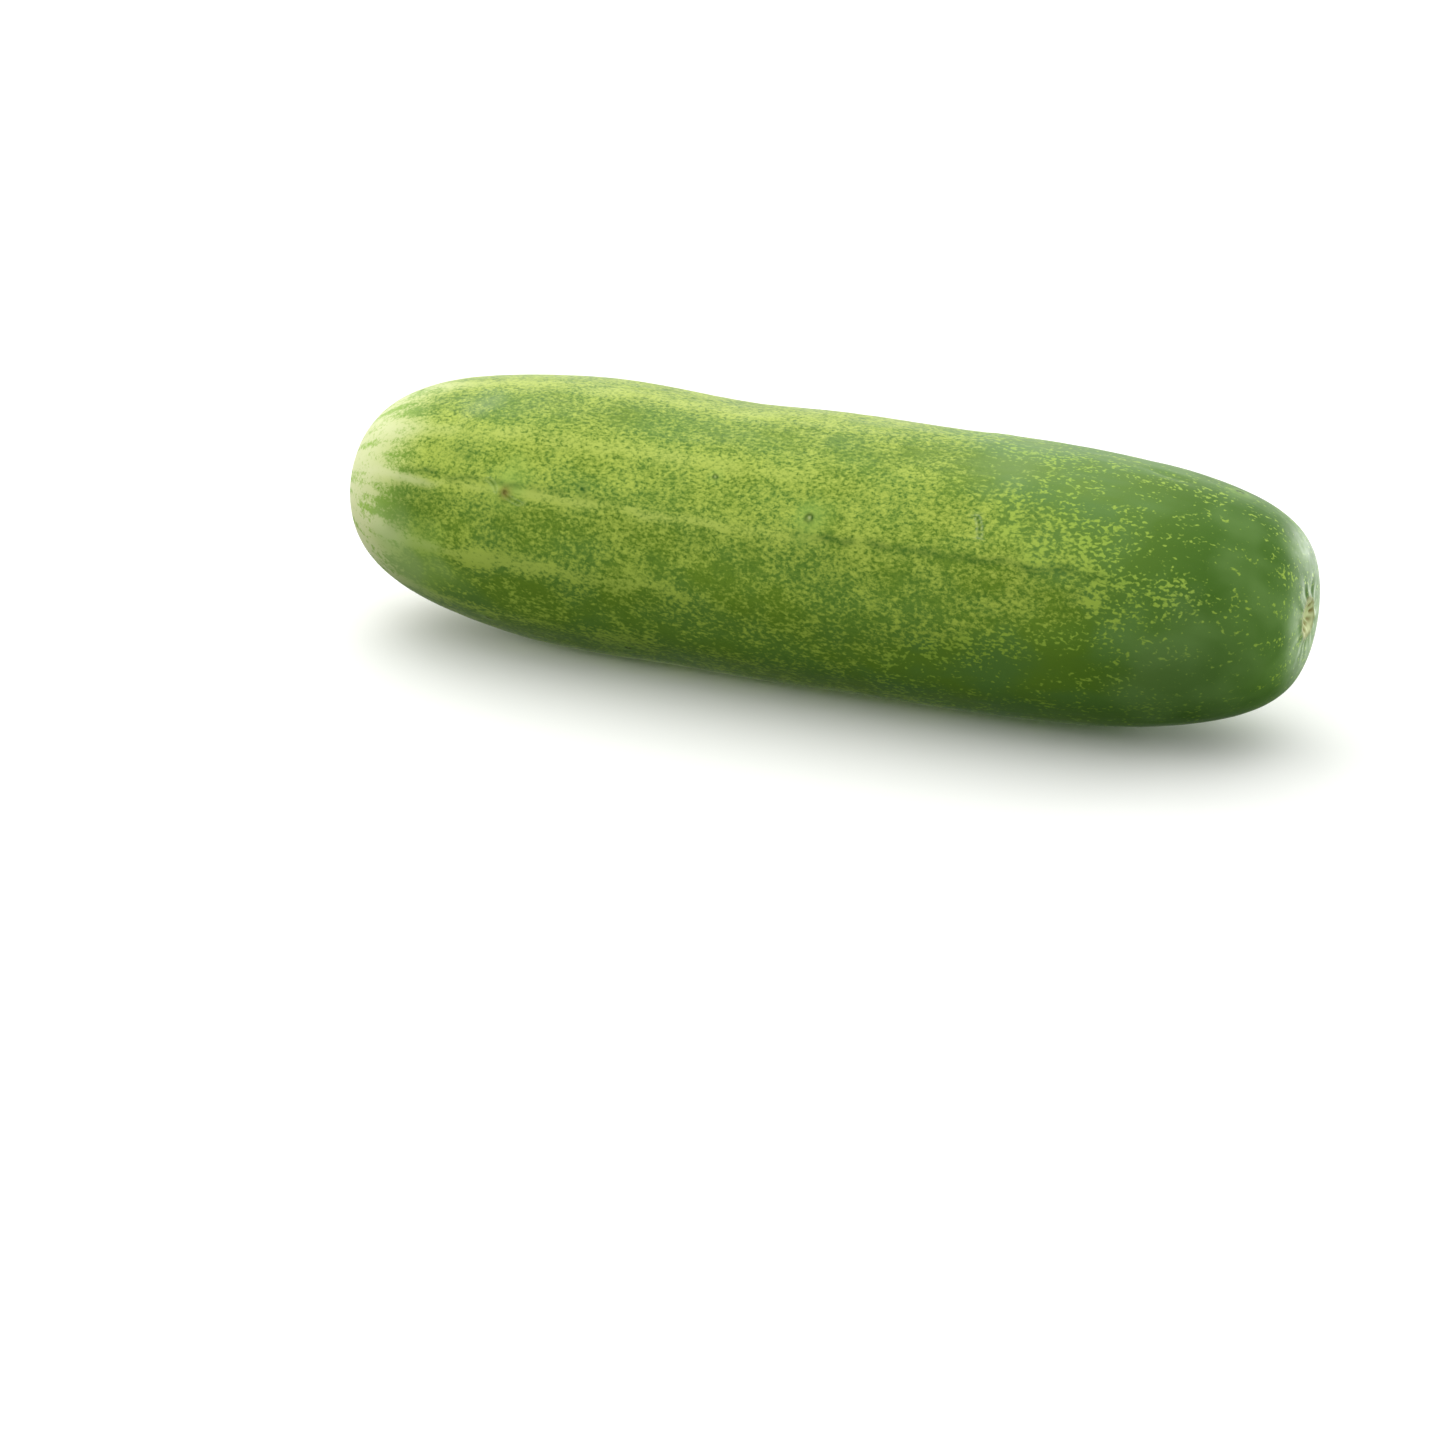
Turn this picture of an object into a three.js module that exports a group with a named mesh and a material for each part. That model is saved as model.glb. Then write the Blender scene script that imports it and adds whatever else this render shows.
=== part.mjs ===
// A short, stout field cucumber, lying on its belly as it would on a table.
//
// Millimetres. The fruit lies along X, with its blossom end at -X and its stem end at +X.
// Z is up and z = 0 is the surface that it lies on.
// The fruit grew as one piece, so it is one solid.

import * as THREE from "three";
import { mergeVertices } from "three/addons/utils/BufferGeometryUtils.js";

// Driving dimensions
const LENGTH = 178;
const RADIUS = 24; // of the barrel where the shoulders meet it
const REST_FLAT_DEPTH = 0.7; // how far the belly is pressed flat where the fruit's weight rests

// Each end is a blunt shoulder. length is how far from its tip it reaches full girth, and the two
// bluntness values are superellipse powers: 2 and 2 would make half an ellipse.
const BLOSSOM_SHOULDER = { length: 59, bluntAlong: 2.7, bluntAcross: 3.0 };
const STEM_SHOULDER = { length: 61, bluntAlong: 2.5, bluntAcross: 3.85 };

// Where the fruit departs from a straight, round body
const FULLNESS = 0.01; // share of the radius that the middle of the barrel is fuller by
const LOBES = { share: 0.009, count: 3, turn: Math.PI / 2 }; // three seed chambers swell the sides
const RIBS = { share: 0.0035, count: 12 }; // one low rib over each vein
const SAG = 0.4; // how far the tips rise above the middle of the centre line
const SWAY = 1.6; // how far the tips lean sideways from it

// Broad swellings and hollows left by growth. station is a share of the length from the blossom tip,
// angle runs from the top of the fruit towards -Y, reach is in radians and lengths in millimetres.
const SWELLINGS = [
  { station: 0.27, angle: -20, height: 0.45, length: 17, reach: 0.75 },
  { station: 0.41, angle: -20, height: -0.55, length: 13, reach: 0.7 },
  { station: 0.26, angle: 158, height: 0.4, length: 16, reach: 0.7 },
  { station: 0.82, angle: 155, height: 0.2, length: 13, reach: 0.6 },
  { station: 0.33, angle: -110, height: -0.4, length: 22, reach: 0.6 },
];

// The scars where the stem and the flower came away, each a shallow dimple with a low lip round it
const STEM_SCAR = { radius: 3.3, depth: 0.9, lip: 0.3 };
const BLOSSOM_SCAR = { radius: 1.8, depth: 0.6, lip: 0.1 };

// Mesh fineness
const AROUND = 40;
const SHOULDER_STEPS = 21;
const BARREL_STEPS = 18;
const TIP_CROWDING = 1.4; // above 1, it puts more rings near the tips
const TIP_CALM = 7; // nearer the axis than this, swellings die away

const FULL_TURN = 2 * Math.PI;

// Radius and distance from the tip of one ring of a shoulder, from step 0 at its tip to full girth.
function shoulderRing(shoulder, step) {
  const u = (Math.PI / 2) * (step / SHOULDER_STEPS) ** TIP_CROWDING;
  return {
    radius: step === 0 ? 0 : RADIUS * Math.sin(u) ** (2 / shoulder.bluntAcross),
    fromTip: shoulder.length * (1 - Math.cos(u) ** (2 / shoulder.bluntAlong)),
  };
}

// How far a scar sinks the tip at a distance from the axis. The lip stands proud, so it counts below zero.
function scarDepth(scar, distance) {
  const dimple = scar.depth * Math.exp(-((distance / (0.55 * scar.radius)) ** 2));
  const lip = scar.lip * Math.exp(-(((distance - scar.radius) / (0.3 * scar.radius)) ** 2));
  return dimple - lip;
}

// The fruit's half outline, from the blossom tip to the stem tip, as points of (radius, station).
function outline() {
  const points = [];
  for (let step = 0; step <= SHOULDER_STEPS; step++) {
    const { radius, fromTip } = shoulderRing(BLOSSOM_SHOULDER, step);
    points.push(new THREE.Vector2(radius, fromTip + scarDepth(BLOSSOM_SCAR, radius)));
  }
  const barrel = LENGTH - BLOSSOM_SHOULDER.length - STEM_SHOULDER.length;
  for (let step = 1; step < BARREL_STEPS; step++) {
    const share = step / BARREL_STEPS;
    const girth = 1 + FULLNESS * Math.sin(Math.PI * share) ** 2;
    points.push(new THREE.Vector2(RADIUS * girth, BLOSSOM_SHOULDER.length + barrel * share));
  }
  for (let step = SHOULDER_STEPS; step >= 0; step--) {
    const { radius, fromTip } = shoulderRing(STEM_SHOULDER, step);
    points.push(new THREE.Vector2(radius, LENGTH - fromTip - scarDepth(STEM_SCAR, radius)));
  }
  return points;
}

// The signed difference between two angles, from -PI to PI.
function angleBetween(a, b) {
  return THREE.MathUtils.euclideanModulo(a - b + Math.PI, FULL_TURN) - Math.PI;
}

// How far the skin stands out from the round outline at a station and an angle from the top.
function standOut(station, angle, radius) {
  const fullness = radius / RADIUS;
  let out = RADIUS * LOBES.share * Math.cos(LOBES.count * (angle - LOBES.turn)) * fullness ** 2;
  out += RADIUS * RIBS.share * Math.cos(RIBS.count * angle) * fullness ** 3;
  for (const s of SWELLINGS) {
    const along = (station - s.station * LENGTH) / s.length;
    const across = angleBetween(angle, THREE.MathUtils.degToRad(s.angle)) / s.reach;
    out += s.height * Math.exp(-(along ** 2) - across ** 2);
  }
  return out;
}

// Turns a point of the round, straight lathe into one of the lying fruit.
function place(point) {
  const station = point.y;
  const radius = Math.hypot(point.x, point.z);
  const angle = Math.atan2(point.x, point.z);
  const swell = Math.min(1, radius / TIP_CALM); // none on the axis, so that the tips stay closed
  const reach = radius + standOut(station, angle, radius) * swell;
  const fromMiddle = station / LENGTH - 0.5;
  const bow = 4 * fromMiddle ** 2; // 0 at the middle and 1 at each tip
  return new THREE.Vector3(
    station - LENGTH / 2,
    -reach * Math.sin(angle) + SWAY * (bow - 1 / 3),
    reach * Math.cos(angle) + SAG * bow,
  );
}

// Lowers the fruit onto the surface and presses its lowest line flat.
function restOnSurface(points) {
  const lowest = Math.min(...points.map((p) => p.z));
  for (const p of points) p.z = Math.max(p.z - lowest - REST_FLAT_DEPTH, 0);
}

// Brings the origin under the middle of the fruit's box.
function centre(points) {
  const box = new THREE.Box3().setFromPoints(points);
  const middle = box.getCenter(new THREE.Vector3());
  for (const p of points) p.sub(new THREE.Vector3(middle.x, middle.y, 0));
}

function fruitGeometry() {
  let geometry = new THREE.LatheGeometry(outline(), AROUND);
  geometry.deleteAttribute("normal");
  geometry.deleteAttribute("uv");
  geometry = mergeVertices(geometry, 1e-3);
  const position = geometry.getAttribute("position");
  const points = [];
  for (let i = 0; i < position.count; i++) {
    points.push(place(new THREE.Vector3().fromBufferAttribute(position, i)));
  }
  restOnSurface(points);
  centre(points);
  points.forEach((p, i) => position.setXYZ(i, p.x, p.y, p.z));
  geometry.computeVertexNormals();
  return geometry;
}

const skin = new THREE.MeshStandardMaterial({ color: 0x7d9f45, roughness: 0.38, metalness: 0 });

const cucumber = new THREE.Mesh(fruitGeometry(), skin);
cucumber.name = "cucumber";

const group = new THREE.Group();
group.add(cucumber);

export default group;
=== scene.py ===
import math
import random

import bmesh
import bpy
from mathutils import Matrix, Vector, noise


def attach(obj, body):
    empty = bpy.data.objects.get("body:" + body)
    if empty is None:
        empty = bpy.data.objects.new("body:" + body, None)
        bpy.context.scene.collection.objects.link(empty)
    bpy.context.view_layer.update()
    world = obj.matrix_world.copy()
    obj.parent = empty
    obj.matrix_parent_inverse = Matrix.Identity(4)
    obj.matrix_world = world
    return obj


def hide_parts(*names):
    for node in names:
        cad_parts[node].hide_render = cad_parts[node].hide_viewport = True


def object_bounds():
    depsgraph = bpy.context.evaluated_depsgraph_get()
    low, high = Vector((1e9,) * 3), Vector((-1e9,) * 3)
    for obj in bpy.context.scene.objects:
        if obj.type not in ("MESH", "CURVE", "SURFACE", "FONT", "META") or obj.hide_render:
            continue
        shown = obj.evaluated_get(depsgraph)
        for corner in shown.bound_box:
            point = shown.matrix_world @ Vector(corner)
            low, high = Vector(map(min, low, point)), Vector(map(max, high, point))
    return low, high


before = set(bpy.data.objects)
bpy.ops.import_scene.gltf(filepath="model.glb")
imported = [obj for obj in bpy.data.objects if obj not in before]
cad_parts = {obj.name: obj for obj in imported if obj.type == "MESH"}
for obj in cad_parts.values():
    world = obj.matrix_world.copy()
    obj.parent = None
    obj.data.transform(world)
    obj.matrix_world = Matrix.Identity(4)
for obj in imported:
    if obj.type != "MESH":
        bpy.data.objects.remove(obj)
cadLow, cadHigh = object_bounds()
print("frame loaded")

mm = 0.001
turn = 2 * math.pi


def smoothStep(low, high, value):
    t = min(1, max(0, (value - low) / (high - low)))
    return t * t * (3 - 2 * t)


def bell(value, width):
    return math.exp(-((value / width) ** 2))


def between(angle, other):  # the signed turn from other to angle, at most half a turn
    return (angle - other + math.pi) % turn - math.pi


def ripple(station, size, row, seed):  # smooth noise along the fruit, the same all round
    return noise.noise(Vector((station / size, row, seed)))


def onRim(angle, depth=0):  # a point on a unit ring, where noise closes up round the fruit
    return Vector((math.sin(angle), math.cos(angle), depth))


# ---- body

# A station is a distance from the blossom tip. An angle turns from the top of the fruit towards -Y.
fruit = {
    "length": cadHigh.x - cadLow.x,
    "radius": 24 * mm,  # of the barrel where the shoulders meet it
    "blossomShoulder": {"length": 59 * mm, "bluntAlong": 2.7, "bluntAcross": 3.0},
    "stemShoulder": {"length": 61 * mm, "bluntAlong": 2.5, "bluntAcross": 3.85},
    "fullness": 0.01,  # share of the radius that the middle is fuller by
    "lobes": {"share": 0.009, "count": 3, "turn": 90},  # the three seed chambers
    "ribs": {"share": 0.004, "count": 12, "turn": 4},  # one over each vein
    "sag": 0.4 * mm,  # how far the tips rise above the middle
    "sway": 1.6 * mm,  # how far they lean sideways
    "restFlat": 0.7 * mm,  # how far the belly is pressed flat
    "calmTip": 7 * mm,  # nearer the axis than this, swellings die away
    "unevenness": {"height": 0.18 * mm, "size": 15 * mm},
    "dimpling": {"height": 0.035 * mm, "size": 3.2 * mm},
    "ringsInShoulder": 110,
    "ringsInBarrel": 100,
    "around": 260,
    "tipCrowding": 1.4,  # above 1, it puts more rings near the tips
    "spotLevels": 2,  # how often the mesh is halved round each scar and scratch
}

# Broad swellings and hollows left by growth, with their station as a share of the length
growthSwellings = [
    {"station": 0.27, "angle": -20, "height": 0.45 * mm, "length": 17 * mm, "reach": 0.75},
    {"station": 0.41, "angle": -20, "height": -0.55 * mm, "length": 13 * mm, "reach": 0.7},
    {"station": 0.26, "angle": 158, "height": 0.4 * mm, "length": 16 * mm, "reach": 0.7},
    {"station": 0.82, "angle": 155, "height": 0.2 * mm, "length": 13 * mm, "reach": 0.6},
    {"station": 0.33, "angle": -110, "height": -0.4 * mm, "length": 22 * mm, "reach": 0.6},
]

# A small crease beside the rim of the stem shoulder
dent = {"station": 153 * mm, "angle": -1, "depth": 0.45 * mm, "length": 4.5 * mm, "width": 1.1 * mm}

stemScar = {
    "radius": 3.3 * mm,
    "depth": 0.9 * mm,
    "lip": 0.3 * mm,
    "raggedness": 0.5 * mm,
    "puckers": {"height": 0.32 * mm, "reach": 10 * mm, "fineness": 3.2},
    "lumps": {"height": 0.2 * mm, "size": 0.7 * mm},
    "pits": {"count": 9, "ring": 1.8 * mm, "radius": 0.45 * mm, "depth": 0.35 * mm},
}

blossomScar = {
    "radius": 1.5 * mm,
    "depth": 0.6 * mm,
    "lip": 0.1 * mm,
    "raggedness": 0.35 * mm,
    "puckers": {"height": 0.12 * mm, "reach": 7 * mm, "fineness": 2.2},
    "lumps": {"height": 0.12 * mm, "size": 0.5 * mm},
    "pits": {"count": 1, "ring": 0, "radius": 0.3 * mm, "depth": 0.2 * mm},
}

# Spots where a spine broke off or the skin was rubbed while the fruit grew
spineScars = [
    {"station": 77.4 * mm, "angle": 44.5, "radius": 1.0 * mm, "ring": 0.4 * mm, "heart": 0.3, "brown": 0.1},
    {"station": 96.4 * mm, "angle": 56.5, "radius": 1.7 * mm, "ring": 0.65 * mm, "heart": 0.4, "brown": 0.2},
    {"station": 12.3 * mm, "angle": 3.5, "radius": 1.1 * mm, "ring": 0.2 * mm, "heart": 0, "brown": 0},
    {"station": 39.2 * mm, "angle": 65, "radius": 2.5 * mm, "ring": 0.25 * mm, "heart": 0, "brown": 0.7},
    {"station": 53.8 * mm, "angle": 58.5, "radius": 0.9 * mm, "ring": 0.25 * mm, "heart": 0, "brown": 0},
    {"station": 120.2 * mm, "angle": -22, "radius": 2.2 * mm, "ring": 0.8 * mm, "heart": 0, "brown": 0.7},
]
hiddenScars = {"count": 15, "angles": (120, 350), "stations": (18 * mm, 165 * mm), "seed": 11}

scratches = [
    {"station": 126.4 * mm, "angle": 49.5, "length": 3.6 * mm, "lean": 70, "bend": 0.12, "dark": 0.9},
    {"station": 36.4 * mm, "angle": 62, "length": 2.6 * mm, "lean": 40, "bend": 0.2, "dark": 0.4},
    {"station": 40.6 * mm, "angle": 67.5, "length": 3.4 * mm, "lean": 22, "bend": -0.1, "dark": 0.4},
    {"station": 88 * mm, "angle": 214, "length": 6 * mm, "lean": 15, "bend": 0.05, "dark": 0.5},
    {"station": 132 * mm, "angle": 301, "length": 4 * mm, "lean": 80, "bend": 0.1, "dark": 0.5},
]


def addHiddenScars():
    draw = random.Random(hiddenScars["seed"])
    for i in range(hiddenScars["count"]):
        spineScars.append(
            {
                "station": draw.uniform(*hiddenScars["stations"]),
                "angle": draw.uniform(*hiddenScars["angles"]),
                "radius": draw.uniform(0.8, 1.6) * mm,
                "ring": draw.uniform(0.25, 0.6) * mm,
                "heart": draw.uniform(0, 0.5),
                "brown": draw.uniform(0, 0.5),
            }
        )


def shoulderRing(shoulder, step):
    u = turn / 4 * (step / fruit["ringsInShoulder"]) ** fruit["tipCrowding"]
    radius = fruit["radius"] * math.sin(u) ** (2 / shoulder["bluntAcross"]) if step else 0
    fromTip = shoulder["length"] * (1 - abs(math.cos(u)) ** (2 / shoulder["bluntAlong"]))
    return radius, fromTip


def halfOutline():
    points = []
    for step in range(fruit["ringsInShoulder"] + 1):
        radius, fromTip = shoulderRing(fruit["blossomShoulder"], step)
        points.append((fromTip, radius))
    start = fruit["blossomShoulder"]["length"]
    barrel = fruit["length"] - start - fruit["stemShoulder"]["length"]
    for step in range(1, fruit["ringsInBarrel"]):
        share = step / fruit["ringsInBarrel"]
        girth = 1 + fruit["fullness"] * math.sin(math.pi * share) ** 2
        points.append((start + barrel * share, fruit["radius"] * girth))
    for step in range(fruit["ringsInShoulder"], -1, -1):
        radius, fromTip = shoulderRing(fruit["stemShoulder"], step)
        points.append((fruit["length"] - fromTip, radius))
    return points


def radiusAt(station):
    outline = halfOutline()
    for (s0, r0), (s1, r1) in zip(outline, outline[1:]):
        if s0 <= station <= s1:
            return r0 + (r1 - r0) * (station - s0) / (s1 - s0)
    return 0


def placeOnSkin(station, angle):  # on the straight, round body, measured from the blossom tip
    radius = radiusAt(station)
    return Vector((station, -radius * math.sin(angle), radius * math.cos(angle)))


def fromSpot(spot, station, radius, angle):  # lengthwise and crosswise distance from a spot
    return station - spot["station"], radius * between(angle, math.radians(spot["angle"]))


def fromScratch(scratch, station, radius, angle):
    along, across = fromSpot(scratch, station, radius, angle)
    lean = math.radians(scratch["lean"])
    u = along * math.cos(lean) + across * math.sin(lean)
    v = across * math.cos(lean) - along * math.sin(lean)
    v -= scratch["bend"] * u * u / scratch["length"] * 2
    beyond = max(0, abs(u) - scratch["length"] / 2)
    return math.hypot(v, beyond)


def spunBody():
    bm = bmesh.new()
    arc = bm.verts.layers.float.new("arc")
    travelled = 0
    last = None
    for station, radius in halfOutline():
        v = bm.verts.new((station, 0, radius))
        if last:
            travelled += (v.co - last.co).length
            bm.edges.new((last, v))
        v[arc] = travelled
        last = v
    bmesh.ops.spin(
        bm,
        geom=bm.verts[:] + bm.edges[:],
        axis=(1, 0, 0),
        angle=turn,
        steps=fruit["around"],
        use_merge=True,
    )
    bmesh.ops.remove_doubles(bm, verts=bm.verts[:], dist=0.0001 * mm)
    for v in bm.verts:
        v[arc] /= travelled
    return bm, arc


def refineSpots(bm):
    spots = []
    for s in spineScars:
        spots.append((placeOnSkin(s["station"], math.radians(s["angle"])), 1.5 * s["radius"]))
    for s in scratches:
        spots.append((placeOnSkin(s["station"], math.radians(s["angle"])), 0.6 * s["length"]))
    for level in range(fruit["spotLevels"]):
        near = set()
        for centre, reach in spots:
            near.update(f for f in bm.faces if (f.calc_center_median() - centre).length < reach)
        edges = list({e for f in near for e in f.edges})
        bmesh.ops.subdivide_edges(bm, edges=edges, cuts=1, use_grid_fill=True)


def layBakeMap(bm, arc):  # a flat map with the seam along the belly
    uv = bm.loops.layers.uv.new("OFBake")
    margin = 0.01
    for f in bm.faces:
        c = f.calc_center_median()
        middle = math.atan2(-c.y, c.z)
        for loop in f.loops:
            co = loop.vert.co
            onAxis = math.hypot(co.y, co.z) < 0.001 * mm
            angle = middle if onAxis else middle + between(math.atan2(-co.y, co.z), middle)
            u = margin + (1 - 2 * margin) * loop.vert[arc]
            loop[uv].uv = (u, 0.5 + (1 - 2 * margin) * angle / turn)


def standOut(straight, station, radius, angle):
    full = radius / fruit["radius"]
    lobes, ribs, uneven, dimpling = (fruit[k] for k in ("lobes", "ribs", "unevenness", "dimpling"))
    lobeTurn = lobes["count"] * (angle - math.radians(lobes["turn"]))
    ribTurn = ribs["count"] * (angle - math.radians(ribs["turn"]))
    out = fruit["radius"] * lobes["share"] * math.cos(lobeTurn) * full**2
    out += fruit["radius"] * ribs["share"] * math.cos(ribTurn) * full**3
    for s in growthSwellings:
        along = (station - s["station"] * fruit["length"]) / s["length"]
        across = between(angle, math.radians(s["angle"])) / s["reach"]
        out += s["height"] * math.exp(-(along**2) - across**2)
    out += uneven["height"] * noise.noise(straight / uneven["size"])
    out += dimpling["height"] * noise.noise(straight / dimpling["size"])
    out *= min(1, radius / fruit["calmTip"])
    along, across = fromSpot(dent, station, radius, angle)
    out -= dent["depth"] * bell(along, dent["length"]) * bell(across - 0.2 * along, dent["width"])
    for s in spineScars:
        along, across = fromSpot(s, station, radius, angle)
        if abs(along) < 3 * s["radius"] and abs(across) < 3 * s["radius"]:
            d = math.hypot(along, across)
            out += 0.1 * s["radius"] * bell(d, 0.7 * s["radius"])
            out -= 0.12 * s["radius"] * bell(d, s["ring"])
    for s in scratches:
        if abs(station - s["station"]) < s["length"]:
            out -= 0.06 * mm * bell(fromScratch(s, station, radius, angle), 0.16 * mm)
    return out


def raggedRadius(scar, angle):
    rim = onRim(angle) * 1.9
    wave = noise.noise(rim + Vector((0, 0, scar["radius"] / mm)))
    return scar["radius"] + scar["raggedness"] * wave


def pitShare(scar, radius, angle):
    pits = scar["pits"]
    if pits["count"] == 1:
        return bell(radius, pits["radius"])
    step = turn / pits["count"]
    index = round(angle / step)
    ring = pits["ring"] * (1 + 0.3 * math.sin(5.3 * index))
    across = ring * between(angle, index * step)
    return bell(math.hypot(radius - ring, across), pits["radius"])


def scarSink(scar, straight, radius, angle):  # how far the scar sinks the tip along the axis
    ragged = raggedRadius(scar, angle)
    puckers, lumps, pits = scar["puckers"], scar["lumps"], scar["pits"]
    sink = scar["depth"] * bell(radius, 0.55 * ragged)
    sink -= scar["lip"] * bell(radius - ragged, 0.3 * ragged)
    rim = onRim(angle) * puckers["fineness"]
    window = smoothStep(0.8 * ragged, 1.5 * ragged, radius)
    window *= 1 - smoothStep(0.35, 1, radius / puckers["reach"])
    sink += puckers["height"] * noise.noise(rim + Vector((0, 0, radius / (7 * mm)))) * window
    inside = 1 - smoothStep(0.7 * ragged, 1.05 * ragged, radius)
    sink += lumps["height"] * noise.noise(straight / lumps["size"]) * inside
    sink += pits["depth"] * pitShare(scar, radius, angle)
    return sink


# ---- markings

# Twelve pale streaks, one over each vein, strongest at the blossom end
veins = [
    {"angle": 4, "strength": 0.8, "width": 2.4 * mm, "fadesAt": 112 * mm},
    {"angle": 38, "strength": 0.75, "width": 1.9 * mm, "fadesAt": 108 * mm},
    {"angle": 64.5, "strength": 1.1, "width": 0.9 * mm, "fadesAt": 104 * mm},
    {"angle": 95, "strength": 1.15, "width": 1.7 * mm, "fadesAt": 84 * mm},
    {"angle": 127, "strength": 0.8, "width": 1.7 * mm, "fadesAt": 84 * mm},
    {"angle": 156, "strength": 0.9, "width": 2.2 * mm, "fadesAt": 96 * mm},
    {"angle": 184, "strength": 0.7, "width": 2.0 * mm, "fadesAt": 108 * mm},
    {"angle": 213, "strength": 1.0, "width": 1.3 * mm, "fadesAt": 92 * mm},
    {"angle": 244, "strength": 0.85, "width": 2.3 * mm, "fadesAt": 100 * mm},
    {"angle": 274, "strength": 0.9, "width": 1.6 * mm, "fadesAt": 112 * mm},
    {"angle": 304, "strength": 0.75, "width": 2.1 * mm, "fadesAt": 94 * mm},
    {"angle": 335, "strength": 0.95, "width": 1.5 * mm, "fadesAt": 104 * mm},
]

# The mottling reaches towards the stem in tongues, and the skin between them is solid dark green.
tongues = [
    {"angle": 14, "reach": 23 * mm, "width": 21},
    {"angle": 42, "reach": 18 * mm, "width": 15},
    {"angle": 74, "reach": 46 * mm, "width": 27},
    {"angle": 165, "reach": 22 * mm, "width": 24},
    {"angle": 238, "reach": 36 * mm, "width": 28},
    {"angle": 322, "reach": 24 * mm, "width": 24},
]

markings = {
    "solidFrom": 116 * mm,  # station at which the skin between two tongues turns solid green
    "edgeWaves": ((6 * mm, 9 * mm), (6 * mm, 3.5 * mm)),  # height and size of the waves in that edge
    "crisping": (-30 * mm, -4 * mm),  # where the mottling sharpens into flecks, from that edge
    "crispSide": {"angle": 118, "width": 42, "share": 0.6},  # it is sharp all along this side
    "thinning": (-15 * mm, 11 * mm),  # where the flecks thin out
    "stemFrom": 136 * mm,  # from here to the stem the solid green deepens
    "stemUntil": 170 * mm,
    "creamFrom": 5 * mm,
    "creamUntil": 22 * mm,
    "creamAlongVeins": 12 * mm,  # how much further the cream runs along a pale streak
    "midShare": 0.5,  # share of the skin that is pale mottling along the barrel
    "midClouds": ((0.18, 7 * mm), (0.21, 2.6 * mm)),  # and how much it varies, and over what size
    "tipShare": 0.2,  # added to that share at the blossom tip
    "tipLines": {"share": 0.75, "count": 11, "until": 32 * mm},
    "streakShare": 0.4,  # and on a pale streak
    "fleckShare": 0.1,  # share of pale flecks near the stem
    "fleckClouds": ((0.2, 5 * mm), (0.12, 2.2 * mm)),
    "fleckRow": 0.14,  # added to it over each vein
    "fleckRows": {"share": 0.06, "count": 36},  # added to it in finer rows
    "fewerAtStem": 0.1,
    "stemSpokes": {"strength": 0.6, "count": 4, "reach": 8 * mm},
    # bands with less pale mottling; two of them also paint shade
    "darkerBandsAndShade": [
        # painted shade on the underside, with fewer pale flecks there too
        {"angle": 127, "width": 33, "share": -0.2},
        # painted shade on the face below the vein at 64.5 degrees
        {"angle": 80, "width": 13, "share": -0.1},
        {"angle": 45, "width": 22, "share": -0.06},
        {"angle": 19, "width": 13, "share": -0.22},
        {"angle": 229, "width": 13, "share": -0.15},
        {"angle": 320, "width": 15, "share": -0.12},
    ],
    "blossomRays": {"count": 10, "reach": 4.6 * mm, "strength": 0.9},
}

# Veins that show as a thin, broken dark line
darkVeins = [
    {"angle": 61.5, "from": 13 * mm, "until": 66 * mm, "width": 0.6 * mm, "strength": 0.6},
    {"angle": 63.5, "from": 92 * mm, "until": 160 * mm, "width": 0.7 * mm, "strength": 0.85},
    {"angle": 238, "from": 20 * mm, "until": 90 * mm, "width": 0.7 * mm, "strength": 0.6},
]

# Soft patches of other tones
patches = [
    {"mask": "bloom", "station": 28.7 * mm, "angle": 21.5, "radius": 4.5 * mm, "strength": 0.1},
    {"mask": "deep", "station": 29.6 * mm, "angle": 47.5, "radius": 3.4 * mm, "strength": 0.12},
    {"mask": "deep", "station": 20 * mm, "angle": 80, "radius": 7 * mm, "strength": 0.27},
    {"mask": "deep", "station": 25 * mm, "angle": 52, "radius": 5 * mm, "strength": 0.1},
    {"mask": "deep", "station": 40 * mm, "angle": 84, "radius": 7 * mm, "strength": 0.1},
    {"mask": "deep", "station": 53.5 * mm, "angle": 58, "radius": 1.6 * mm, "strength": 0.35},
    {"mask": "bloom", "station": 17 * mm, "angle": 110, "radius": 9 * mm, "strength": 0.14},
    {"mask": "smooth", "station": 21 * mm, "angle": 107, "radius": 10 * mm, "strength": 0.55},
    # painted sheen: a grey-white reflection on the lower right of the stem end, partly waxy bloom
    {"mask": "greyBloomAndSheen", "station": 163 * mm, "angle": 110, "radius": 13 * mm, "strength": 0.32},
    # painted sheen along the top towards the stem, partly waxy bloom
    {"mask": "greyBloomAndSheen", "station": 128 * mm, "angle": 10, "radius": 9 * mm, "strength": 0.25},
    {"mask": "smooth", "station": 97 * mm, "angle": 56, "radius": 4.5 * mm, "strength": 0.25},
    {"mask": "smooth", "station": 40 * mm, "angle": 57, "radius": 4 * mm, "strength": 0.28},
]

skinMasks = ("pale", "solid", "stem", "cream", "cork", "brown", "deep", "bloom", "greyBloomAndSheen", "smooth")


def streakAt(station, radius, angle):
    best = 0
    wander = 0.9 * mm * ripple(station, 16 * mm, 1.3, 0)
    for i, vein in enumerate(veins):
        across = radius * between(angle, math.radians(vein["angle"]))
        if abs(across) > 4 * vein["width"]:
            continue
        across += wander + 0.7 * mm * ripple(station, 9 * mm, i, 4)
        across += 0.5 * mm * ripple(station, 2.5 * mm, i, 6)
        width = vein["width"] * (1 + 0.45 * ripple(station, 11 * mm, i, 8))
        fade = 1 - smoothStep(vein["fadesAt"] - 45 * mm, vein["fadesAt"] + 14 * mm, station)
        patchy = 0.8 + 0.7 * ripple(station, 8 * mm, i, 12)
        best = max(best, vein["strength"] * fade * patchy * bell(across, width))
    return min(1, best)


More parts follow.
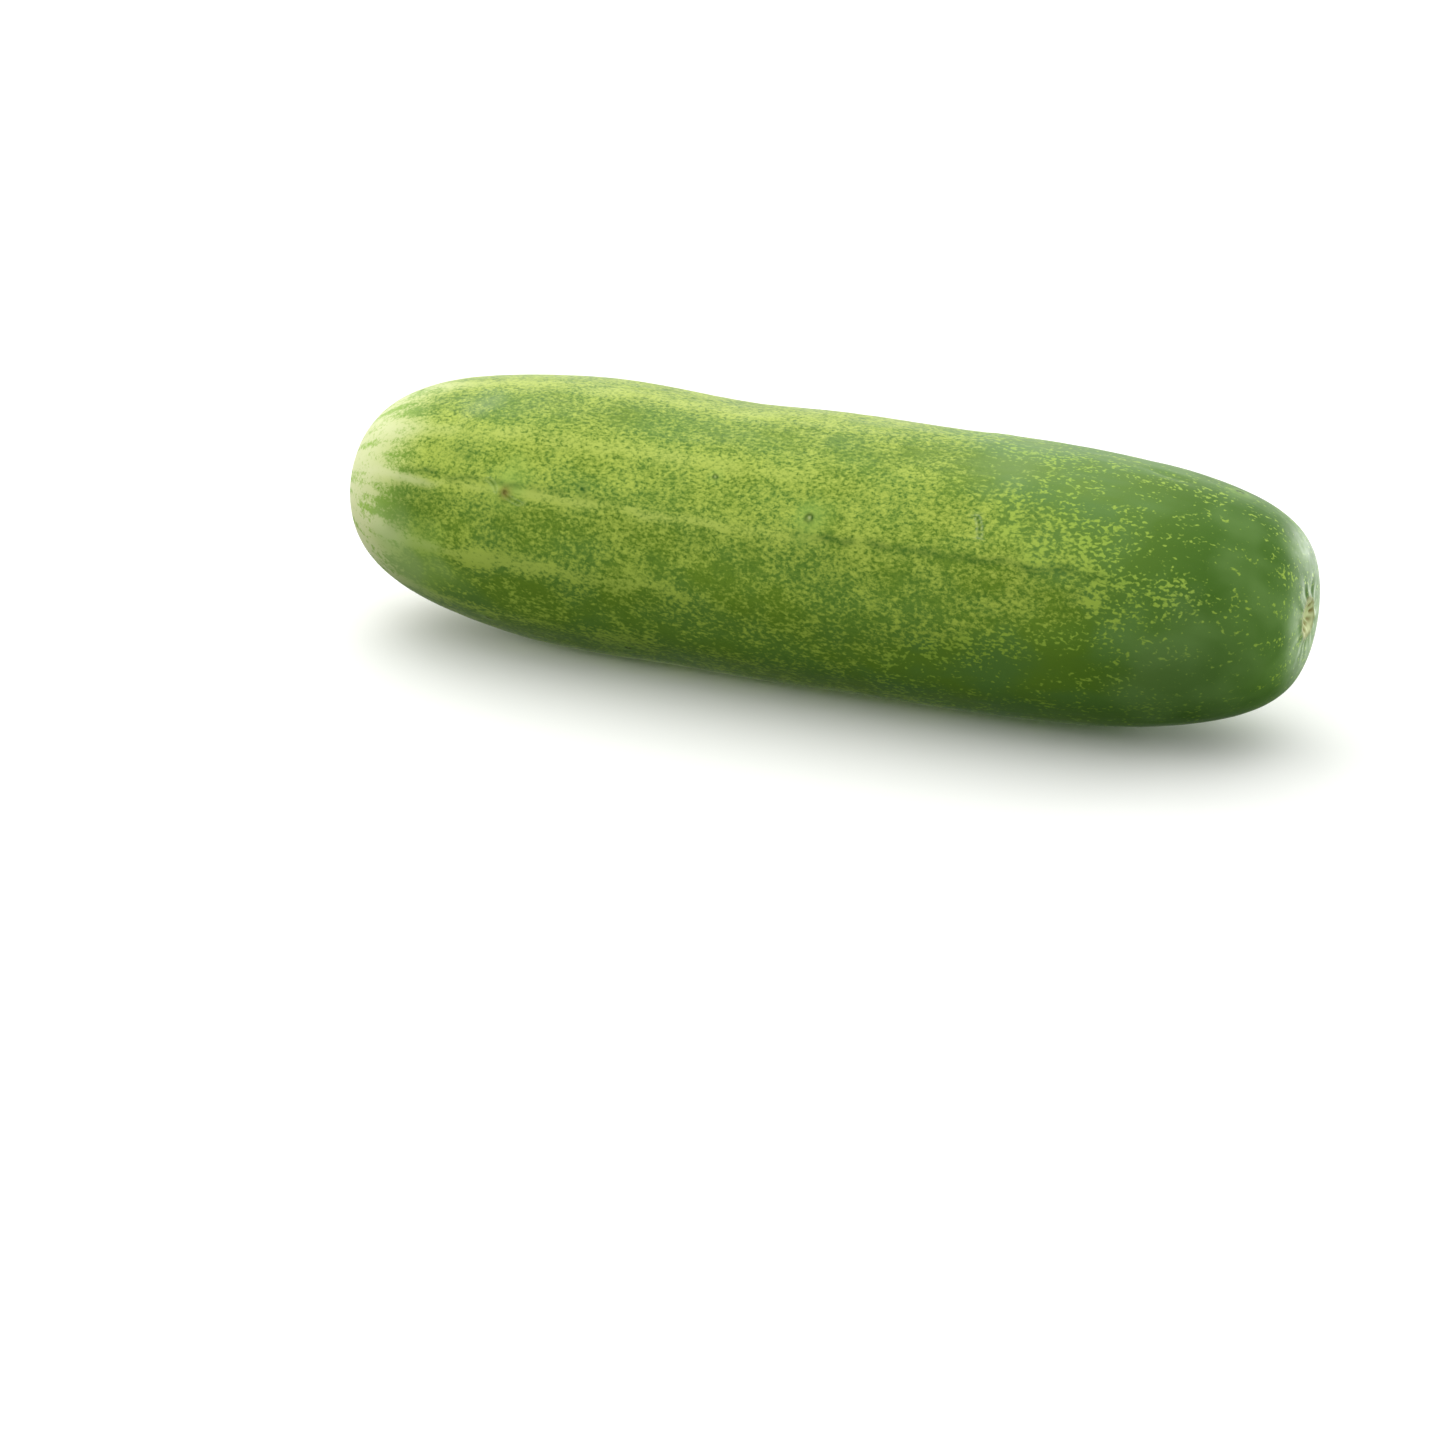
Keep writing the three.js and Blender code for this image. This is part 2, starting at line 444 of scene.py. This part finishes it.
def darkVeinAt(station, radius, angle):
    shade = 0
    for i, vein in enumerate(darkVeins):
        across = radius * between(angle, math.radians(vein["angle"]))
        if abs(across) > 4 * mm:
            continue
        along = smoothStep(vein["from"], vein["from"] + 8 * mm, station)
        along *= 1 - smoothStep(vein["until"] - 20 * mm, vein["until"], station)
        across += 0.8 * mm * ripple(station, 5 * mm, i, 5)
        across += 0.4 * mm * ripple(station, 1.6 * mm, i, 7)
        broken = 0.6 + 0.9 * ripple(station, 3 * mm, i, 9)
        shade += vein["strength"] * along * max(0, broken) * bell(across, vein["width"])
    return shade


def rowAt(radius, angle):  # how near a vein this is
    nearest = min(abs(between(angle, math.radians(v["angle"]))) for v in veins)
    return bell(radius * nearest, 1.3 * mm)


def pastEdge(straight, station, angle):  # how far beyond the mottled skin, towards the stem
    edge = markings["solidFrom"]
    for t in tongues:
        edge += t["reach"] * bell(math.degrees(between(angle, math.radians(t["angle"]))), t["width"])
    for height, size in markings["edgeWaves"]:
        edge += height * noise.noise(straight / size)
    return station - edge


def paleShare(straight, station, radius, angle, thin, streak):
    share = markings["midShare"] + markings["streakShare"] * streak
    # bands of less pale mottling, two of them painted shade
    for side in markings["darkerBandsAndShade"]:
        off = math.degrees(between(angle, math.radians(side["angle"])))
        share += side["share"] * bell(off, side["width"])
    share += markings["tipShare"] * (1 - smoothStep(4 * mm, 26 * mm, station))
    lines = markings["tipLines"]
    if station < lines["until"]:
        spoke = onRim(angle) * lines["count"]
        spoke.z = station / (9 * mm)
        share += lines["share"] * noise.noise(spoke) * (1 - smoothStep(0.2, 1, station / lines["until"]))
    for depth, size in markings["midClouds"]:
        share += depth * noise.noise(straight / size)
    rows = markings["fleckRows"]
    flecks = markings["fleckShare"] + markings["fleckRow"] * rowAt(radius, angle)
    flecks += rows["share"] * math.cos(rows["count"] * angle + 2 * noise.noise(straight / (12 * mm)))
    for depth, size in markings["fleckClouds"]:
        flecks += depth * noise.noise(straight / size)
    flecks -= markings["fewerAtStem"] * smoothStep(150 * mm, 172 * mm, station)
    return share + (flecks - share) * thin


def paintMottling(v, layer, straight, station, radius, angle):
    past = pastEdge(straight, station, angle)
    side = markings["crispSide"]
    off = math.degrees(between(angle, math.radians(side["angle"])))
    solid = max(smoothStep(*markings["crisping"], past), side["share"] * bell(off, side["width"]))
    thin = smoothStep(*markings["thinning"], past)
    streak = streakAt(station, radius, angle)
    v[layer["solid"]] = solid
    v[layer["pale"]] = paleShare(straight, station, radius, angle, thin, streak)
    creamEnd = markings["creamUntil"] + markings["creamAlongVeins"] * streak
    cream = 1 - smoothStep(markings["creamFrom"], creamEnd, station)
    v[layer["cream"]] = min(1, cream + 0.1 * streak * (1 - solid))
    v[layer["stem"]] = smoothStep(markings["stemFrom"], markings["stemUntil"], station)
    v[layer["deep"]] += darkVeinAt(station, radius, angle)


def paintMarks(v, layer, straight, station, radius, angle):  # the patches, scars and scratches
    for p in patches:
        d = math.hypot(*fromSpot(p, station, radius, angle))
        if d < 2.5 * p["radius"]:
            d += 0.5 * p["radius"] * noise.noise(straight / (0.6 * p["radius"]))
            v[layer[p["mask"]]] += p["strength"] * (1 - smoothStep(0.3, 1.3, d / p["radius"]))
    for s in spineScars:
        d = math.hypot(*fromSpot(s, station, radius, angle))
        if d < 3 * s["radius"]:
            d += 0.35 * s["ring"] * noise.noise(straight / (0.8 * s["ring"]))
            broken = 0.9 + 0.8 * noise.noise(straight / (1.4 * s["ring"]))
            ring = bell(d - s["ring"], 0.35 * s["ring"] + 0.1 * mm) * max(0.1, broken)
            v[layer["deep"]] += 0.95 * ring
            v[layer["bloom"]] += s["heart"] * bell(d, 0.5 * s["ring"])
            v[layer["brown"]] += s["brown"] * bell(d, 0.45 * s["radius"])
            v[layer["smooth"]] += 0.3 * (1 - smoothStep(0.6, 2.2, d / s["radius"]))
    for s in scratches:
        if abs(station - s["station"]) < s["length"]:
            d = fromScratch(s, station, radius, angle)
            v[layer["deep"]] += s["dark"] * bell(d, 0.17 * mm)
            v[layer["bloom"]] += 0.25 * s["dark"] * bell(d - 0.42 * mm, 0.17 * mm)


def paintStemTip(v, layer, radius, angle):
    ragged = raggedRadius(stemScar, angle)
    v[layer["cork"]] = 1 - smoothStep(0.85 * ragged, 1.12 * ragged, radius)
    v[layer["brown"]] += pitShare(stemScar, radius, angle)
    v[layer["brown"]] += 0.5 * bell(radius - ragged, 0.12 * ragged)
    spokes = markings["stemSpokes"]
    spoke = onRim(angle, 0.3) * spokes["count"]
    spokeShare = spokes["strength"] * max(0, noise.noise(spoke) + 0.15)
    spokeShare *= smoothStep(0.8 * ragged, 1.3 * ragged, radius)
    v[layer["bloom"]] += spokeShare * (1 - smoothStep(0.45, 1, radius / spokes["reach"]))


def paintBlossomTip(v, layer, radius, angle):
    rays = markings["blossomRays"]
    ragged = raggedRadius(blossomScar, angle)
    v[layer["cork"]] = 0.6 * (1 - smoothStep(0.6 * ragged, 1.1 * ragged, radius))
    v[layer["brown"]] += 1 - smoothStep(0.1 * ragged, 1.0 * ragged, radius)
    wave = noise.noise(onRim(angle, 2))
    ray = (0.5 + 0.5 * math.cos(rays["count"] * angle + 2.4 * wave)) ** 2
    near = 1 - smoothStep(0.45, 1, radius / rays["reach"])
    far = 1 - smoothStep(0.5, 2.2, radius / rays["reach"])
    v[layer["deep"]] += rays["strength"] * max(0.75 * near, ray * far)


def paintSkin(bm):
    layer = {name: bm.verts.layers.float.new(name) for name in skinMasks}
    skinCo = bm.verts.layers.float_vector.new("skinCo")
    for v in bm.verts:
        station, radius = v.co.x, math.hypot(v.co.y, v.co.z)
        angle = math.atan2(-v.co.y, v.co.z)
        straight = Vector((station - fruit["length"] / 2, v.co.y, v.co.z))
        v[skinCo] = straight
        paintMottling(v, layer, straight, station, radius, angle)
        paintMarks(v, layer, straight, station, radius, angle)
        if station > fruit["length"] / 2:
            paintStemTip(v, layer, radius, angle)
        else:
            paintBlossomTip(v, layer, radius, angle)


def bendToShape(bm):
    for v in bm.verts:
        station, radius = v.co.x, math.hypot(v.co.y, v.co.z)
        angle = math.atan2(-v.co.y, v.co.z)
        straight = v.co.copy()
        reach = radius + standOut(straight, station, radius, angle)
        if radius < 12 * mm:
            if station < fruit["length"] / 2:
                station += scarSink(blossomScar, straight, radius, angle)
            else:
                station -= scarSink(stemScar, straight, radius, angle)
        bow = 4 * (station / fruit["length"] - 0.5) ** 2  # 0 at the middle and 1 at each tip
        v.co.x = station
        v.co.y = -reach * math.sin(angle) + fruit["sway"] * bow
        v.co.z = reach * math.cos(angle) + fruit["sag"] * bow
    lowest = min(v.co.z for v in bm.verts)
    for v in bm.verts:
        v.co.z = max(v.co.z - lowest - fruit["restFlat"], 0)
    for i in (0, 1):
        low, high = min(v.co[i] for v in bm.verts), max(v.co[i] for v in bm.verts)
        shift = Vector((0, 0, 0))
        shift[i] = (cadLow[i] + cadHigh[i]) / 2 - (low + high) / 2
        bmesh.ops.translate(bm, verts=bm.verts[:], vec=shift)


def growFruit():
    bm, arc = spunBody()
    refineSpots(bm)
    layBakeMap(bm, arc)
    print("body spun and refined:", len(bm.verts), "points")
    paintSkin(bm)
    print("markings painted")
    bendToShape(bm)
    bmesh.ops.recalc_face_normals(bm, faces=bm.faces[:])
    for f in bm.faces:
        f.smooth = True
    mesh = bpy.data.meshes.new("cucumber_skin")
    bm.to_mesh(mesh)
    bm.free()
    piece = bpy.data.objects.new("cucumber_skin", mesh)
    bpy.context.scene.collection.objects.link(piece)
    return piece


# ---- materials


def linear(hexColour):  # sRGB hex to the linear colour that a socket takes
    channels = [int(hexColour[i : i + 2], 16) / 255 for i in (0, 2, 4)]
    return (*[c / 12.92 if c <= 0.04045 else ((c + 0.055) / 1.055) ** 2.4 for c in channels], 1)


def addNode(tree, kind, settings=(), **sockets):
    node = tree.nodes.new(kind)
    for name, value in dict(settings).items():
        setattr(node, name, value)
    for name, value in sockets.items():
        key = int(name[1:]) if name[0] == "i" and name[1:].isdigit() else name.replace("_", " ")
        if isinstance(value, bpy.types.NodeSocket):
            tree.links.new(value, node.inputs[key])
        else:
            node.inputs[key].default_value = value
    return node


waxySkin = {
    "paleMid": "a9ba4c",
    "paleFleck": "94b142",
    "paleCream": "cad09a",
    "darkMid": "698621",
    "darkCool": "65862a",
    "darkSolid": "64842b",
    "coolSolid": "5e813a",
    "darkStem": "456b1b",
    "darkBlossom": "8fb04a",
    "smooth": "8fb04c",
    "greyBloomAndSheen": "84a06a",
    # grey-green of waxy bloom, also used as a painted sheen
    "bloom": "c9d6b4",
    "deep": "2f5a14",
    "cork": "c9cf9f",
    "brown": "786428",
    "mottleSize": 0.55 * mm,  # grain of the soft mottling
    "mottleStretch": 0.7,  # below 1, the mottling is longer along the fruit
    "fleckSize": 0.62 * mm,  # grain of the crisp flecks
    "fleckStretch": 0.66,
    "heartShare": 0.45,  # how much darker the mottling is at its darkest
    "softGain": 1.55,  # contrast of the mottling along the barrel
    "crispGain": 3.8,  # and of the flecks near the stem
    "patchSize": 9 * mm,  # of the cooler areas of the darker skin
    "wrinkleSize": 1.3 * mm,
    "wrinkleStretch": 0.14,  # they run along the fruit
    "wrinkleDepth": 0.05 * mm,
    "poreSize": 0.5 * mm,  # real pores are far finer, and this coarse they just show
    "poreDepth": 0.02 * mm,
    "roughness": (0.38, 0.5),
    "corkRoughness": 0.8,
    "shine": 0.17,
    "waxSheen": 0.07,  # thin wax bloom that whitens the skin where it turns away
    "waxSheenRoughness": 0.35,
}


def cucumberSkin():
    # Thin waxed plant skin: satin shine over soft mottling in two greens
    look = waxySkin
    material = bpy.data.materials.new("waxed_cucumber_skin")
    material.use_nodes = True
    tree = material.node_tree
    tree.nodes.clear()
    mask = {}
    for name in skinMasks:
        mask[name] = addNode(tree, "ShaderNodeAttribute", {"attribute_name": name}).outputs["Fac"]
    place = addNode(tree, "ShaderNodeAttribute", {"attribute_name": "skinCo"}).outputs["Vector"]

    # Mottling: noise whose share of pale skin and whose contrast are painted on
    stretch = (look["mottleStretch"], 1, 1)
    along = addNode(tree, "ShaderNodeMapping", Vector=place, Scale=stretch).outputs[0]
    mottle = addNode(
        tree,
        "ShaderNodeTexNoise",
        Vector=along,
        Scale=1 / look["mottleSize"],
        Detail=3.0,
        Roughness=0.66,
        Distortion=0.3,
    ).outputs["Fac"]
    stretch = (look["fleckStretch"], 1, 1)
    drawn = addNode(tree, "ShaderNodeMapping", Vector=place, Scale=stretch).outputs[0]
    flecks = addNode(
        tree,
        "ShaderNodeTexNoise",
        Vector=drawn,
        Scale=1 / look["fleckSize"],
        Detail=1.7,
        Roughness=0.5,
        Distortion=0.25,
    ).outputs["Fac"]
    either = addNode(tree, "ShaderNodeMix", i0=mask["solid"], i2=mottle, i3=flecks).outputs[0]
    level = addNode(tree, "ShaderNodeMapRange", {"clamp": False}, i0=either, i1=0.3, i2=0.7, i3=-1.0, i4=0.0)
    height = addNode(tree, "ShaderNodeMath", {"operation": "ADD"}, i0=level.outputs[0], i1=mask["pale"])
    soft, crisp = look["softGain"], look["crispGain"]
    gain = addNode(tree, "ShaderNodeMapRange", i0=mask["solid"], i1=0.0, i2=1.0, i3=soft, i4=crisp)
    speckle = addNode(
        tree,
        "ShaderNodeMath",
        {"operation": "MULTIPLY_ADD", "use_clamp": True},
        i0=height.outputs[0],
        i1=gain.outputs[0],
        i2=0.5,
    ).outputs[0]

    # The soft mottling is darkest in the hearts of its dark spots
    fading = {"i1": 0.0, "i2": 1.0, "i3": look["heartShare"], "i4": 0.0}
    deepest = addNode(tree, "ShaderNodeMapRange", i0=mask["solid"], **fading).outputs[0]
    hearts = addNode(tree, "ShaderNodeMapRange", i0=mottle, i1=0.46, i2=0.36, i3=0.0, i4=deepest)

    # Tones: the darker skin, the paler skin, then the marks that lie over both
    patches = addNode(tree, "ShaderNodeTexNoise", Vector=along, Scale=1 / look["patchSize"], Detail=2.0)
    cool = addNode(tree, "ShaderNodeMapRange", i0=patches.outputs["Fac"], i1=0.4, i2=0.62, i3=0.0, i4=1.0)
    times = {"operation": "MULTIPLY"}
    coolSolid = addNode(tree, "ShaderNodeMath", times, i0=cool.outputs[0], i1=mask["solid"])
    steps = [(cool.outputs[0], "darkCool"), (mask["solid"], "darkSolid"), (mask["stem"], "darkStem")]
    steps += [(coolSolid.outputs[0], "coolSolid"), (hearts.outputs[0], "deep")]
    steps += [(mask["cream"], "darkBlossom")]
    dark = linear(look["darkMid"])
    for share, tone in steps:
        stage = {"data_type": "RGBA"}
        dark = addNode(tree, "ShaderNodeMix", stage, i0=share, i6=dark, i7=linear(look[tone])).outputs[2]
    pale = linear(look["paleMid"])
    for share, tone in ((mask["solid"], "paleFleck"), (mask["cream"], "paleCream")):
        over = {"i6": pale, "i7": linear(look[tone])}
        pale = addNode(tree, "ShaderNodeMix", {"data_type": "RGBA"}, i0=share, **over).outputs[2]
    colour = addNode(tree, "ShaderNodeMix", {"data_type": "RGBA"}, i0=speckle, i6=dark, i7=pale).outputs[2]
    # the grey tone is partly waxy bloom and partly a painted sheen
    for tone in ("smooth", "greyBloomAndSheen", "bloom", "deep", "cork", "brown"):
        over = {"i6": colour, "i7": linear(look[tone])}
        colour = addNode(tree, "ShaderNodeMix", {"data_type": "RGBA"}, i0=mask[tone], **over).outputs[2]

    # Relief: faint lengthwise wrinkles and pores
    stretch = (look["wrinkleStretch"], 1, 1)
    lengthwise = addNode(tree, "ShaderNodeMapping", Vector=place, Scale=stretch).outputs[0]
    fineness = 1 / look["wrinkleSize"]
    wrinkles = addNode(tree, "ShaderNodeTexNoise", Vector=lengthwise, Scale=fineness, Detail=3.0)
    pores = addNode(tree, "ShaderNodeTexNoise", Vector=place, Scale=1 / look["poreSize"], Detail=2.0)
    creased = addNode(
        tree, "ShaderNodeBump", Strength=0.5, Distance=look["wrinkleDepth"], Height=wrinkles.outputs["Fac"]
    ).outputs[0]
    relief = addNode(
        tree,
        "ShaderNodeBump",
        Strength=0.4,
        Distance=look["poreDepth"],
        Height=pores.outputs["Fac"],
        Normal=creased,
    ).outputs[0]

    # Gloss: a little uneven over the skin, matt on the cork of the scars
    low, high = look["roughness"]
    satin = addNode(
        tree, "ShaderNodeMapRange", i0=wrinkles.outputs["Fac"], i1=0.35, i2=0.65, i3=low, i4=high
    ).outputs[0]
    matt = addNode(
        tree, "ShaderNodeMapRange", i0=mask["cork"], i1=0.0, i2=1.0, i3=satin, i4=look["corkRoughness"]
    ).outputs[0]
    shader = addNode(
        tree,
        "ShaderNodeBsdfPrincipled",
        Base_Color=colour,
        Roughness=matt,
        IOR=1.45,
        Specular_IOR_Level=look["shine"],
        Sheen_Weight=look["waxSheen"],
        Sheen_Roughness=look["waxSheenRoughness"],
        Normal=relief,
    )
    addNode(tree, "ShaderNodeOutputMaterial", Surface=shader.outputs[0])
    return material


def paperTable():
    # Matt white card, a clean pale ground
    material = bpy.data.materials.new("matt_white_card")
    material.use_nodes = True
    shader = material.node_tree.nodes["Principled BSDF"]
    shader.inputs["Base Color"].default_value = linear("f2f2ee")
    shader.inputs["Roughness"].default_value = 0.8
    return material


# ---- studio

camera = {
    "azimuth": 23.9,
    "elevation": 22,
    "distance": 850 * mm,
    "lens": 121,
    "aimLeft": 16.3 * mm,
    "aimBelow": 30.6 * mm,
}


def addCamera():
    a, e = math.radians(camera["azimuth"]), math.radians(camera["elevation"])
    back = Vector((math.sin(a) * math.cos(e), -math.cos(a) * math.cos(e), math.sin(e)))
    facing = (-back).to_track_quat("-Z", "Y")
    aside, above = facing @ Vector((1, 0, 0)), facing @ Vector((0, 1, 0))
    aim = (cadLow + cadHigh) / 2 - aside * camera["aimLeft"] - above * camera["aimBelow"]
    data = bpy.data.cameras.new("camera")
    data.lens = camera["lens"]
    data.sensor_width = 36
    data.clip_start, data.clip_end = 0.01, 20
    tripod = bpy.data.objects.new("camera", data)
    tripod.location = aim + back * camera["distance"]
    tripod.rotation_mode = "QUATERNION"
    tripod.rotation_quaternion = facing
    bpy.context.scene.collection.objects.link(tripod)
    bpy.context.scene.camera = tripod


studio = {
    "skyMiddle": 0.65,  # strength of the sky at right angles to its brightest direction
    "skySwing": 0.97,  # added towards that direction and taken off away from it
    "skyTowards": (-0.18, 0.3, 0.94),
    "skyColour": "fdfeff",
    "shadeColour": "95b866",  # of the least bright part of the sky
    "cards": [  # white cards low on the right and low behind
        {"towards": (0.93, -0.1, -0.36), "edge": 0.65, "core": 0.95, "strength": 1.5},
        {"towards": (0.35, 0.92, -0.18), "edge": 0.9, "core": 0.985, "strength": 4},
    ],
    "lights": [
        {"place": (-0.7, 0.7, 1.1), "size": 1.0, "power": 4, "inGloss": True},
        {"place": (-1.15, -0.45, 0.28), "size": 0.5, "power": 7, "inGloss": False},
        {"place": (0.6, 1.15, 0.14), "size": 0.4, "power": 6, "inGloss": True},
    ],
}


def addLights():
    for i, light in enumerate(studio["lights"]):
        data = bpy.data.lights.new("softbox_" + str(i + 1), "AREA")
        data.shape = "SQUARE"
        data.size = light["size"]
        data.energy = light["power"]
        lamp = bpy.data.objects.new(data.name, data)
        lamp.location = light["place"]
        lamp.visible_glossy = light["inGloss"]
        lamp.rotation_mode = "QUATERNION"
        lamp.rotation_quaternion = (-Vector(light["place"])).to_track_quat("-Z", "Y")
        bpy.context.scene.collection.objects.link(lamp)
    world = bpy.data.worlds.new("studio")
    world.use_nodes = True
    tree = world.node_tree
    direction = addNode(tree, "ShaderNodeTexCoord").outputs["Generated"]
    dot = {"operation": "DOT_PRODUCT"}
    towards = addNode(tree, "ShaderNodeVectorMath", dot, i0=direction, i1=studio["skyTowards"])
    swing, middle = studio["skySwing"], studio["skyMiddle"]
    sky = {"operation": "MULTIPLY_ADD"}
    strength = addNode(tree, "ShaderNodeMath", sky, i0=towards.outputs["Value"], i1=swing, i2=middle)
    atLeast = {"operation": "MAXIMUM"}
    strength = addNode(tree, "ShaderNodeMath", atLeast, i0=strength.outputs[0], i1=0.02)
    for card in studio["cards"]:
        facing = addNode(tree, "ShaderNodeVectorMath", dot, i0=direction, i1=card["towards"])
        ends = {"i1": card["edge"], "i2": card["core"], "i3": 0.0, "i4": card["strength"]}
        glow = addNode(tree, "ShaderNodeMapRange", i0=facing.outputs["Value"], **ends).outputs[0]
        plus = {"operation": "ADD"}
        strength = addNode(tree, "ShaderNodeMath", plus, i0=strength.outputs[0], i1=glow)
    shade = addNode(tree, "ShaderNodeMapRange", i0=towards.outputs["Value"], i1=-0.8, i2=0.1, i3=0.0, i4=1.0)
    ends = {"i6": linear(studio["shadeColour"]), "i7": linear(studio["skyColour"])}
    tone = addNode(tree, "ShaderNodeMix", {"data_type": "RGBA"}, i0=shade.outputs[0], **ends)
    background = tree.nodes["Background"]
    tree.links.new(tone.outputs[2], background.inputs["Color"])
    tree.links.new(strength.outputs[0], background.inputs["Strength"])
    bpy.context.scene.world = world


def addTable():
    bm = bmesh.new()
    bmesh.ops.create_grid(bm, x_segments=1, y_segments=1, size=4)
    mesh = bpy.data.meshes.new("table")
    bm.to_mesh(mesh)
    bm.free()
    table = bpy.data.objects.new("table", mesh)
    mesh.materials.append(paperTable())
    bpy.context.scene.collection.objects.link(table)
    table.visible_diffuse = False  # the fruit's underside stays dark, as it does in a heap
    table.visible_glossy = False


addCamera()
addHiddenScars()
skin = growFruit()
print("fruit grown:", len(skin.data.polygons), "faces")
skin.data.materials.append(cucumberSkin())
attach(skin, "root")
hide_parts("cucumber")
addLights()
addTable()
bpy.context.scene.view_settings.view_transform = "Standard"
print("studio lit")
